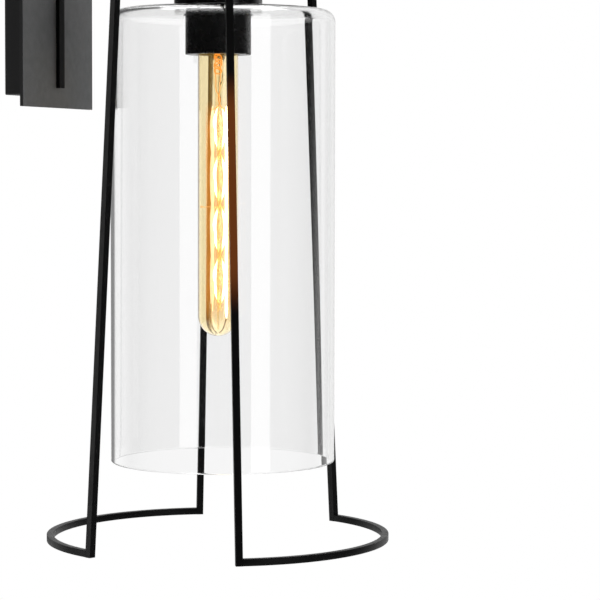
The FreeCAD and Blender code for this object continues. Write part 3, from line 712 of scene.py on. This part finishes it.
def make_nipple():
    """The hollow threaded rod that carries the cap and the socket."""
    low, high, outer = extent("threaded_nipple")
    segments = 40
    maker = bmesh.new()
    rings = threaded_mesh(maker, AXIS, outer, 0.5 * MM, 0.94 * MM, low, high, segments, 6)
    inner = outer - 1.5 * MM
    bore = [ring_of(maker, AXIS, height, lambda angle: inner, segments) for height in (low, high)]
    for lower, upper in ((bore[0], rings[0]), (rings[-1], bore[1]), (bore[1], bore[0])):
        bridge(maker, lower, upper)
    stand_in(built("nipple_thread", maker, "fixture", 70), "threaded_nipple", ZINC)


def make_cap_cover():
    """The cap over the glass: a shallow cup with a rolled top edge, open below."""
    low, high, outer = extent("glass_cap")
    wall = 1.5 * MM
    roof = 2 * MM
    roll = 3.0 * MM
    lip = 0.35 * MM
    hole = radius_of("threaded_nipple") + 0.05 * MM
    outline = [(outer - wall, low + lip)] + arc(outer - wall + lip, low + lip, lip, 180, 270, 3)
    outline += arc(outer - lip, low + lip, lip, 270, 360, 3)
    outline += arc(outer - roll, high - roll, roll, 0, 90, 10)
    outline += [(hole, high), (hole, high - roof), (outer - roll, high - roof)]
    outline += arc(outer - roll, high - roll, roll - roof, 90, 0, 4)[1:]
    outline += [(outer - wall, high - roll - 1 * MM)]
    stand_in(turned("cap_cover", outline, "fixture"), "glass_cap", material=DEEP_BLACK)


def make_cap_seal():
    low, high, outer = extent("cap_gasket")
    outline = rounded_bar(outer - 5.4 * MM, outer, low, high, 0.8 * MM, 4)
    stand_in(turned("cap_seal", outline, "fixture"), "cap_gasket", SILICONE)


# ---- socket, collar and glass

def make_socket_shell():
    """The socket's screw shell, rolled with the lamp's thread."""
    low, high, outer = extent("socket_screw_shell")
    maker = bmesh.new()
    threaded_mesh(maker, AXIS, outer - 0.1 * MM, 0.5 * MM, LAMP_PITCH, low + 0.3 * MM, high, 64, 12)
    shell = built("socket_thread", maker, "fixture", 70)
    thicken(shell, 0.25 * MM)
    stand_in(shell, "socket_screw_shell", BRASS)


def make_collar_cup():
    """The screwed collar, with the lip that the lamp passes through."""
    low, high, outer = extent("shade_collar")
    mouth = 16.8 * MM
    lip = 2.4 * MM
    inner_ease = 0.3 * MM
    foot_ease = 0.7 * MM
    top_ease = 0.4 * MM
    outline = arc(mouth + inner_ease, low + inner_ease, inner_ease, 180, 270, 3)
    outline += arc(outer - foot_ease, low + foot_ease, foot_ease, 270, 360, 5)
    outline += arc(outer - top_ease, high - top_ease, top_ease, 0, 90, 3)
    outline += [(COLLAR_BORE, high), (COLLAR_BORE, low + lip), (mouth, low + lip)]
    stand_in(turned("collar_cup", outline, "collar"), "shade_collar", material=DEEP_BLACK)


def make_collar_plate():
    """The washer that the glass stands on."""
    low, high, outer = extent("collar_washer")
    ease = 0.3 * MM
    rim = outer - ease
    outline = [(COLLAR_BORE, low)] + arc(rim, low + ease, ease, 270, 360, 3)
    outline += arc(rim, high - ease, ease, 0, 90, 3) + [(COLLAR_BORE, high)]
    stand_in(turned("collar_plate", outline, "collar"), "collar_washer", material=DEEP_BLACK)


def make_glass():
    """Clear cylinder with a fire-polished lip, a rounded shoulder and a polished hole."""
    low, high, outer = extent("glass_shade")
    wall = 3.0 * MM
    shoulder = 10.0 * MM
    hole = 23.4 * MM
    polish = 0.8 * MM
    lip = wall / 2
    rise = 10
    start = low + lip
    stop = high - shoulder
    outline = arc(outer - lip, start, lip, 180, 360, 14)
    outline += [(outer, start + (stop - start) * step / rise) for step in range(1, rise)]
    outline += arc(outer - shoulder, stop, shoulder, 0, 90, 16)
    outline += arc(hole + polish, high - polish, polish, 90, 180, 4)
    outline += arc(hole + polish, high - wall + polish, polish, 180, 270, 4)
    outline += arc(outer - shoulder, stop, shoulder - wall, 90, 0, 14)
    outline += [(outer - wall, stop + (start - stop) * step / rise) for step in range(1, rise)]
    cylinder = turned("glass_cylinder", outline, "shade", GLASS_AXIS, 256)
    stand_in(cylinder, "glass_shade", CLEAR)


# ---- lamp

def lamp_skin(name, radius, neck, tip, shoulder, neck_low, top):
    """One face of the lamp's glass: a round end, a long tube and a shoulder that narrows to the neck."""
    outline = arc(0.0, tip + radius, radius, -90, 0, 24)
    outline[0] = (0.0, tip)
    outline += [(radius, tip + radius + (shoulder - tip - radius) * step / 8) for step in range(1, 9)]
    outline += [(neck + width, height) for width, height in
                bowed(radius - neck, shoulder, neck_low - shoulder, range(15, 91, 15))]
    outline += [(neck, top), (0.0, top)]
    maker = bmesh.new()
    turned_mesh(maker, outline, AXIS, closed=False)
    return finish_mesh(name, maker, 32)


def make_envelope():
    radius = radius_of("lamp_envelope")
    top = top_of("lamp_envelope")
    wall = 0.9 * MM
    neck = 12.4 * MM
    cap = bottom_of("lamp_base_shell")
    shoulder = cap - 4.2 * MM
    outside = lamp_skin("outside", radius, neck, LAMP_TIP, shoulder, cap - 0.4 * MM, top)
    inside = lamp_skin("inside", radius - wall, neck - wall, LAMP_TIP + wall, shoulder - 0.3 * MM,
                       cap - 0.7 * MM, top - 2 * MM)
    inside.flip_normals()
    both = bmesh.new()
    both.from_mesh(outside)
    both.from_mesh(inside)
    mesh = bpy.data.meshes.new("lamp_glass")
    both.to_mesh(mesh)
    both.free()
    shade_smooth(mesh, 40)
    bpy.data.meshes.remove(outside)
    bpy.data.meshes.remove(inside)
    stand_in(add_object("lamp_glass", mesh, "lamp"), "lamp_envelope", AMBER_GLASS_WITH_PAINTED_GLOW)


def make_screw_cap():
    """The lamp's rolled cap: a skirt, the thread, and a crown that closes in on the insulator."""
    low, high, outer = extent("lamp_base_shell")
    thread_low = low + 4.5 * MM
    thread_high = high - 3.0 * MM
    flat = high - 0.1 * MM
    skirt = [(outer - 0.2 * MM, low), (outer - 0.2 * MM, low + 3.2 * MM), (outer - 0.6 * MM, thread_low)]
    crown = [(outer - 0.65 * MM, thread_high), (outer - 1.6 * MM, high - 1.2 * MM),
             (9.8 * MM, flat), (7.0 * MM, flat)]
    maker = bmesh.new()
    threaded_mesh(maker, AXIS, outer, 1.3 * MM, LAMP_PITCH, thread_low, thread_high, 96, 14)
    for band in (skirt, crown):
        turned_mesh(maker, band, AXIS, closed=False, segments=96)
    shell = built("lamp_screw_cap", maker, "lamp")
    thicken(shell, 0.3 * MM)
    stand_in(shell, "lamp_base_shell", BRASS)


def make_insulator():
    low = bottom_of("lamp_insulator")
    hole = 4.0 * MM
    rim = 6.9 * MM
    outline = [(hole, low), (rim, low), (rim, low + 0.5 * MM)]
    outline += arc(4.6 * MM, low + 0.4 * MM, 2.0 * MM, 20, 80, 6) + [(hole, top_of("lamp_insulator"))]
    ring = turned("lamp_vitrite", outline, "lamp_tip", segments=64)
    stand_in(ring, "lamp_insulator", VITRITE)


def make_contact():
    """The drop of solder on the end of the lamp's cap."""
    low, high = span("lamp_contact")
    button = 3.9 * MM
    edge = low + 2.5 * MM
    outline = [(0.0, low), (button, low), (button, edge)]
    outline += bowed(button - 0.2 * MM, edge, high - edge, (15, 35, 55, 75)) + [(0.0, high)]
    drop = turned("lamp_solder", outline, "lamp_tip", segments=48)
    stand_in(drop, "lamp_contact", SOLDER)


def make_stem_glass():
    """Flared glass foot, rod and flat pinch that carries the lead wires."""
    tip, top, foot = extent("lamp_stem")
    bead = 2.4 * MM
    outline = [(0.0, tip)] + arc(0.0, tip + bead, bead, -75, 0, 6)
    outline += [(2.2 * MM, tip + 12 * MM), (3.0 * MM, tip + 17 * MM), (3.9 * MM, tip + 21 * MM),
                (3.9 * MM, top - 26 * MM), (4.4 * MM, top - 20 * MM), (6.0 * MM, top - 12 * MM),
                (9.0 * MM, top - 5 * MM), (foot, top - 1.5 * MM), (foot, top), (0.0, top)]

    def pinch(angle, height):
        flat = math.exp(-((height - tip - 16 * MM) / (6 * MM)) ** 2)
        return 1.0 + flat * (0.55 * abs(cos(angle - 1.2)) - 0.35)

    maker = bmesh.new()
    turned_mesh(maker, outline, AXIS, closed=False, segments=64, wobble=pinch)
    stand_in(built("lamp_foot", maker, "lamp"), "lamp_stem", STEM_GLASS)


def make_filament():
    """A glowing strand wound up and down as a double helix, with a straight strand on each side.

    The wound strands are thick where they stand out sideways and thin where they cross."""
    low = bottom_of("lamp_filament")
    bottom = low + 6 * MM
    top = top_of("lamp_filament") + 5 * MM
    crossing = LAMP_TIP + 145.4 * MM
    maker = bmesh.new()
    for strand in range(2):
        phase = (math.atan2(FACING.y, FACING.x) + strand * pi
                 + 2 * pi * (bottom - crossing) / FILAMENT_TWIST)
        points = helix(FILAMENT_CENTRE, FILAMENT_RADIUS, bottom, top, FILAMENT_TWIST, phase, 160)
        apart = [min(1.0, abs((point - FILAMENT_CENTRE).dot(ACROSS)) / FILAMENT_RADIUS) for point in points]
        widths = [(0.7 + 0.7 * share ** 2) * MM for share in apart]
        tube_mesh(maker, points, tapered(points, widths, 9 * MM))
    points = upright(AXIS + ACROSS * 6.6 * MM, low, top, 80)
    tube_mesh(maker, points, tapered(points, [1.1 * MM] * len(points), 5 * MM))
    glow = stand_in(built("lamp_glow", maker, "lamp"), "lamp_filament", FILAMENT)
    glow.visible_diffuse = False

    maker = bmesh.new()
    points = upright(AXIS - ACROSS * 4.6 * MM, bottom, top, 160)
    widths = []
    for point in points:
        wave = abs(sin(2 * pi * (point.z - crossing) / FILAMENT_TWIST))
        widths.append((1.0 + 0.9 * wave ** 0.7) * MM)
    tube_mesh(maker, points, tapered(points, widths, 12 * MM))
    second = slotted(built("lamp_return", maker, "lamp"), CREAM)
    second.visible_diffuse = False


def make_painted_haze():
    """A closed form with rounded ends round the strands, that carries their painted glow."""
    reach = 9.8 * MM
    taper = 8 * MM
    low = bottom_of("lamp_filament") - 8 * MM
    high = top_of("lamp_filament") + 13 * MM
    upper = bowed(reach, high - taper, taper, range(0, 91, 9))
    lower = [(width, low + high - height) for width, height in reversed(upper)]
    outline = [(0.0, low)] + lower[1:] + upper[:-1] + [(0.0, high)]
    # this form glows though it is no lamp: painted light round the strands
    cloud = turned("lamp_painted_glow", outline, "lamp", segments=48)
    slotted(cloud, PAINTED_HAZE)
    cloud.visible_diffuse = False
    cloud.visible_shadow = False


def at(across, deep, height):
    """A place in the lamp, in millimetres sideways and towards its broad side, at a height in metres."""
    return AXIS + ACROSS * across * MM + FACING * deep * MM + UP * height


def make_leads():
    """The lead wires, and the loose knot of thin wire where the filament is tied to them."""
    foot = bottom_of("lamp_stem")
    flare = top_of("lamp_stem")
    top = top_of("lamp_filament")
    maker = bmesh.new()
    for side in (-1, 1):
        route = [at(2.4 * side, 4.4, flare - 14 * MM), at(1.7 * side, 4.6, foot + 22 * MM),
                 at(1.4 * side, 4.4, foot + 14 * MM), at(1 - 0.8 * side, 4.2, foot + 7 * MM),
                 at(1 + 1.2 * side, 4.0, foot + 1 * MM), at(5.6 * side, 0.6, top + 2 * MM)]
        tube_mesh(maker, bend_through(route), 0.30 * MM, 8)
    knot = []
    for step in range(90):
        turn = 2 * pi * step / 89
        drop = 9 + 19 * step / 89 + 1.6 * sin(8.7 * turn)
        knot.append(at(3.0 * sin(6.3 * turn), 4.6 + 0.6 * cos(4.1 * turn), flare - drop * MM))
    tube_mesh(maker, knot, 0.44 * MM, 8)
    slotted(built("lamp_leads", maker, "lamp"), LEAD)


def make_spider():
    """The steadying cross: four wires from the rod, each with a small eye that rests against the glass."""
    hub = AXIS + UP * CROSS_HEIGHT
    reach = 14.2 * MM
    eye = 0.55 * MM
    maker = bmesh.new()
    for turn in range(4):
        angle = radians(90 * turn + 8)
        out = ACROSS * cos(angle) + FACING * sin(angle)
        tip = hub + out * reach
        route = [hub, hub + out * 7 * MM + UP * 0.4 * MM, tip, tip - out * 0.5 * MM + UP * 1.0 * MM,
                 tip - out * 1.6 * MM + UP * 0.3 * MM]
        tube_mesh(maker, bend_through(route, 6), 0.28 * MM, 8)
        around = [radians(degrees) for degrees in range(0, 181, 15)]
        tube_mesh(maker, [tip + UP * eye * cos(angle) for angle in around],
                  [max(0.02 * MM, eye * sin(angle)) for angle in around], 10)
    slotted(built("lamp_spider", maker, "lamp"), SPIDER)


def make_hooks_and_coil():
    """The hooks under the strands, and the small spring that keeps one strand taut."""
    low = bottom_of("lamp_filament")
    maker = bmesh.new()
    for side, end in ((-1, 8 * MM), (1, 1 * MM)):
        route = [at(6.4 * side, 0, low + end), at(6.2 * side, 0, low - 1 * MM),
                 at(4.0 * side, 0.5, low - 8 * MM), at(0.8 * side, 0.5, low - 12 * MM)]
        tube_mesh(maker, bend_through(route), 0.45 * MM, 8)
    slotted(built("lamp_hooks", maker, "lamp"), HOOK)
    maker = bmesh.new()
    spring = helix(at(-6.0, 1.0, 0), 1.1 * MM, low - 8 * MM, low + 12 * MM, 1.5 * MM, 0.0, 260)
    tube_mesh(maker, spring, 0.34 * MM, 6)
    slotted(built("lamp_coil", maker, "lamp"), COIL)


def make_rod():
    """The glass rod in the middle of the filament, with a bead that holds the steadying cross."""
    low = bottom_of("lamp_filament")
    top = bottom_of("lamp_stem") - 0.2 * MM
    radius = 0.9 * MM
    outline = [(0.0, low - 9 * MM)] + arc(0.0, low - 8 * MM, radius, -70, 0, 4)
    outline += [(radius, CROSS_HEIGHT - 3 * MM)] + arc(radius, CROSS_HEIGHT, 1.3 * MM, -60, 60, 6)
    outline += [(radius, CROSS_HEIGHT + 3 * MM), (radius, top), (0.0, top)]
    rod = turned("lamp_rod", outline, "lamp", segments=24)
    stand_in(rod, "lamp_support", STEM_GLASS)


# ---- wall side

def turn_from_wall(piece, x, wall_side, height, degrees):
    """Lays a piece that was built up the Z axis at the origin along Y instead, and puts it in its place."""
    place = Matrix.Translation((x, wall_side, height))
    piece.data.transform(place @ Matrix.Rotation(radians(degrees), 4, "X"))
    piece.data.update()


def make_stud(tag, x, height):
    low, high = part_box("mounting_studs")
    length = high[1] - low[1]
    maker = bmesh.new()
    close_ends(maker, threaded_mesh(maker, ORIGIN, 2.08 * MM, 0.4 * MM, 0.79 * MM, 0.0, length, 28, 8))
    stud = built("stud_" + tag, maker, "fixture", 70)
    turn_from_wall(stud, x, high[1], height, 90)
    stand_in(stud, "mounting_studs", ZINC)


def make_cap_nut(tag, x, height):
    """A domed nut with a thin flange, on the plate's face."""
    low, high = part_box("cap_nuts")
    depth = high[1] - low[1]
    radius = (high[2] - low[2]) / 2
    flange = radius * 0.98
    body = radius * 0.9
    ease = 0.4 * MM
    outline = [(0.0, 0.0)] + arc(flange - ease, ease, ease, -90, 0, 3)
    outline += [(flange, 1.2 * MM), (body, 1.7 * MM), (body, depth - radius)]
    outline += bowed(body, depth - radius, radius, range(10, 81, 10)) + [(0.0, depth)]
    nut = turned("cap_nut_" + tag, outline, "fixture", ORIGIN, segments=64)
    turn_from_wall(nut, x, high[1], height, 90)
    stand_in(nut, "cap_nuts")


def make_studs_and_nuts():
    low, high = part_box("cap_nuts")
    edge = (high[2] - low[2]) / 2
    for tag, x in (("left", low[0] + edge), ("right", high[0] - edge)):
        make_stud(tag, x, middle("cap_nuts").z)
        make_cap_nut(tag, x, middle("cap_nuts").z)


def crossed_head(name, radius, rise):
    """Pan head with a cross recess, built up the Z axis."""
    maker = bmesh.new()
    side = rise * 0.45
    outline = [(0.0, 0.0), (radius, 0.0), (radius, side)]
    outline += bowed(radius, side, rise - side, (20, 40, 60, 75)) + [(0.0, rise)]
    turned_mesh(maker, outline, ORIGIN, closed=False, segments=32)
    head = built(name, maker, "fixture", 32)
    maker = bmesh.new()
    for long_x, long_y in ((0.62, 0.13), (0.13, 0.62)):
        block = bmesh.ops.create_cube(maker, size=1.0)["verts"]
        bmesh.ops.scale(maker, verts=block, vec=(2 * radius * long_x, 2 * radius * long_y, rise))
        bmesh.ops.translate(maker, verts=block, vec=(0, 0, rise))
    recess = bpy.data.meshes.new("recess")
    maker.to_mesh(recess)
    maker.free()
    cutter = bpy.data.objects.new("recess", recess)
    scene.collection.objects.link(cutter)
    cut = head.modifiers.new("recess", "BOOLEAN")
    cut.operation = "DIFFERENCE"
    cut.object = cutter
    cut.use_self = True
    bpy.context.view_layer.update()
    evaluated = head.evaluated_get(bpy.context.evaluated_depsgraph_get())
    head.data = bpy.data.meshes.new_from_object(evaluated)
    head.modifiers.clear()
    bpy.data.objects.remove(cutter)
    return head


def make_screw_head(name, node, x, height, radius, rise):
    """A screw's head whose face looks to the wall."""
    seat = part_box(node)[1][1] - rise
    head = crossed_head(name, radius, rise)
    turn_from_wall(head, x, seat, height, -90)
    stand_in(head, node, ZINC)


def make_pan_screws():
    radius = 3.0 * MM
    heights = (bottom_of("spine_screws") + radius, 0.0, top_of("spine_screws") - radius)
    for index, height in enumerate(heights):
        make_screw_head("spine_screw_" + str(index + 1), "spine_screws", 0.0, height, radius, 2.2 * MM)
    place = middle("pan_lug_screw")
    make_screw_head("pan_lug_head", "pan_lug_screw", place.x, place.z, 3.5 * MM, 2.5 * MM)


def make_wire_nuts():
    """Two ribbed cones that point down.  The wires go in at the top, through a plain skirt."""
    low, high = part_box("wire_nuts")
    radius = (high[1] - low[1]) / 2
    bottom = low[2]
    top = high[2]
    tip = 2.4 * MM
    rib_low = bottom + 1.5 * MM
    rib_high = top - 6 * MM
    ease = 0.8 * MM
    deep = top - 3 * MM

    def ribs(angle, height):
        if height > top - 5.2 * MM or height < bottom + 1.4 * MM:
            return 1.0
        return 1.0 + 0.05 * cos(12 * angle)

    outline = [(0.0, bottom), (tip, bottom)] + arc(tip, bottom + ease, ease, -60, 0, 3)
    outline += [(3.3 * MM + (radius - 4.3 * MM) * step / 12, rib_low + (rib_high - rib_low) * step / 12)
                for step in range(13)]
    outline += [(radius - 0.3 * MM, top - 5 * MM), (radius, top - 4.2 * MM), (radius, top - 0.4 * MM),
                (radius - 0.4 * MM, top), (2.2 * MM, top), (1.6 * MM, deep), (0.0, deep)]
    for tag, x in (("left", low[0] + radius), ("right", high[0] - radius)):
        centre = Vector((x, middle("wire_nuts").y, 0.0))
        nut = turned("wire_nut_" + tag, outline, "fixture", centre, segments=96, wobble=ribs)
        stand_in(nut, "wire_nuts", ORANGE_PLASTIC)


# ---- camera, light and floor

CAMERA_BEARING = -70.036        # degrees round the lantern; 0 looks along +Y


def around_axis(bearing, distance, height):
    angle = radians(bearing)
    return AXIS + Vector((sin(angle) * distance, -cos(angle) * distance, height))


def make_camera():
    """Stands beside the lantern, a little lower than the plate."""
    distance = 1.900
    eye_height = 0.29975        # above the ring's underside
    heading = radians(CAMERA_BEARING - 1.967)
    pitch = radians(3.270)
    roll = radians(0.136)
    ahead = Vector((-sin(heading), cos(heading), 0.0))
    forward = ahead * cos(pitch) - UP * sin(pitch)
    level = Vector((cos(heading), sin(heading), 0.0))
    above = level.cross(forward)
    right = cos(roll) * level + sin(roll) * above
    up = cos(roll) * above - sin(roll) * level
    place = around_axis(CAMERA_BEARING, distance, RING_BOTTOM + eye_height)
    camera = bpy.data.objects.new("camera", bpy.data.cameras.new("camera"))
    camera.data.sensor_width = 36.0
    camera.data.lens = 143.29
    camera.matrix_world = Matrix.Translation(place) @ Matrix((right, up, -forward)).transposed().to_4x4()
    scene.collection.objects.link(camera)
    scene.camera = camera


def make_light(name, bearing, distance, height, size, power, mirrored=True, only=()):
    """A soft box on a bearing counted from the camera's.  It may light a few pieces only."""
    data = bpy.data.lights.new(name, "AREA")
    data.shape = "RECTANGLE"
    data.size, data.size_y = size
    data.energy = power
    lamp = bpy.data.objects.new(name, data)
    place = around_axis(CAMERA_BEARING + bearing, distance, height)
    target = AXIS - UP * 0.15
    turn = (target - place).to_track_quat("-Z", "Y")
    lamp.matrix_world = Matrix.Translation(place) @ turn.to_matrix().to_4x4()
    lamp.visible_glossy = mirrored
    lamp.visible_transmission = mirrored
    if only:
        receivers = bpy.data.collections.new(name + "_lights")
        for piece in only:
            receivers.objects.link(piece)
        lamp.light_linking.receiver_collection = receivers
    scene.collection.objects.link(lamp)


def make_lights():
    glass = [bpy.data.objects["glass_cylinder"]]
    cage = [bpy.data.objects["ring_bar_front"], bpy.data.objects["ring_bar_back"]]
    cage += [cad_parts[name] for name in LEGS]
    make_light("soft_box", 38.6, 3.0, 0.0, (1.08, 2.6), 15.0)
    make_light("wall_wash", 75, 2.4, 0.2, (1.6, 1.6), 105.0, mirrored=False)
    make_light("top_box", 0, 0.1, 2.0, (2.5, 2.5), 75.0, only=glass)
    make_light("edge_strip", -92, 2.5, 0.0, (0.6, 2.6), 22.0, only=cage)
    make_light("room_fill", -20, 2.6, 1.2, (1.6, 1.6), 21.0, mirrored=False)


def make_world():
    """A studio: straight rays see white, and mirrored ones a room that is dark on the camera's side."""
    world = bpy.data.worlds.new("studio")
    scene.world = world
    world.use_nodes = True
    world.node_tree.nodes.clear()
    sky = Nodes(world.node_tree)
    white = sky.node("Background", {"Color": opaque(WHITE), "Strength": 1.0})
    path = sky.node("LightPath").outputs
    bounced = sky.maths("ADD", path["Glossy Depth"], path["Diffuse Depth"])
    straight_on = sky.maths("SUBTRACT", path["Is Transmission Ray"], bounced)
    seen = sky.maths("MAXIMUM", path["Is Camera Ray"], straight_on)
    direction = sky.node("TexCoord").outputs["Generated"]
    backdrop = sky.ranged(sky.dot(direction, BACKDROP), 0.18, 0.78, ROOM_DARK, ROOM_BRIGHT, smooth=True)
    card = sky.ranged(sky.dot(direction, BLACK_CARD), 0.970, 0.99, 1.0, 0.3, smooth=True)
    level = sky.product(backdrop, card)
    room = sky.node("Background", {"Color": opaque(WHITE), "Strength": level})
    surface = sky.mixed(seen, room.outputs["Background"], white.outputs["Background"])
    sky.node("OutputWorld", {"Surface": surface})


def make_floor():
    """A pale matt floor well below the hanging lantern."""
    half = 4.0
    height = RING_BOTTOM - 1.6
    maker = bmesh.new()
    maker.faces.new([maker.verts.new((x, y, height))
                     for x, y in ((-half, -half), (half, -half), (half, half), (-half, half))])
    mesh = bpy.data.meshes.new("floor")
    maker.to_mesh(mesh)
    maker.free()
    floor = bpy.data.objects.new("floor", mesh)
    scene.collection.objects.link(floor)
    shader = Shader("pale_floor", (0.9, 0.9, 0.9), 0.7)
    shader.roughen(shader.noise(4.0, 3.0), 0.62, 0.78)
    shader.emit(WHITE, 0.75)
    floor.visible_diffuse = False
    paint(floor, shader.material)


dress_cad_pieces()
make_ring_arc("front", -1)
make_ring_arc("back", 1)
make_finial()
make_hub_lid()
make_stem_cover()
make_nipple()
make_cap_cover()
make_cap_seal()
make_socket_shell()
make_collar_cup()
make_collar_plate()
make_glass()
make_envelope()
make_screw_cap()
make_insulator()
make_contact()
make_stem_glass()
make_filament()
make_painted_haze()
make_leads()
make_spider()
make_hooks_and_coil()
make_rod()
make_studs_and_nuts()
make_pan_screws()
make_wire_nuts()
make_camera()
make_world()
make_floor()
make_lights()
scene.view_settings.view_transform = "Standard"
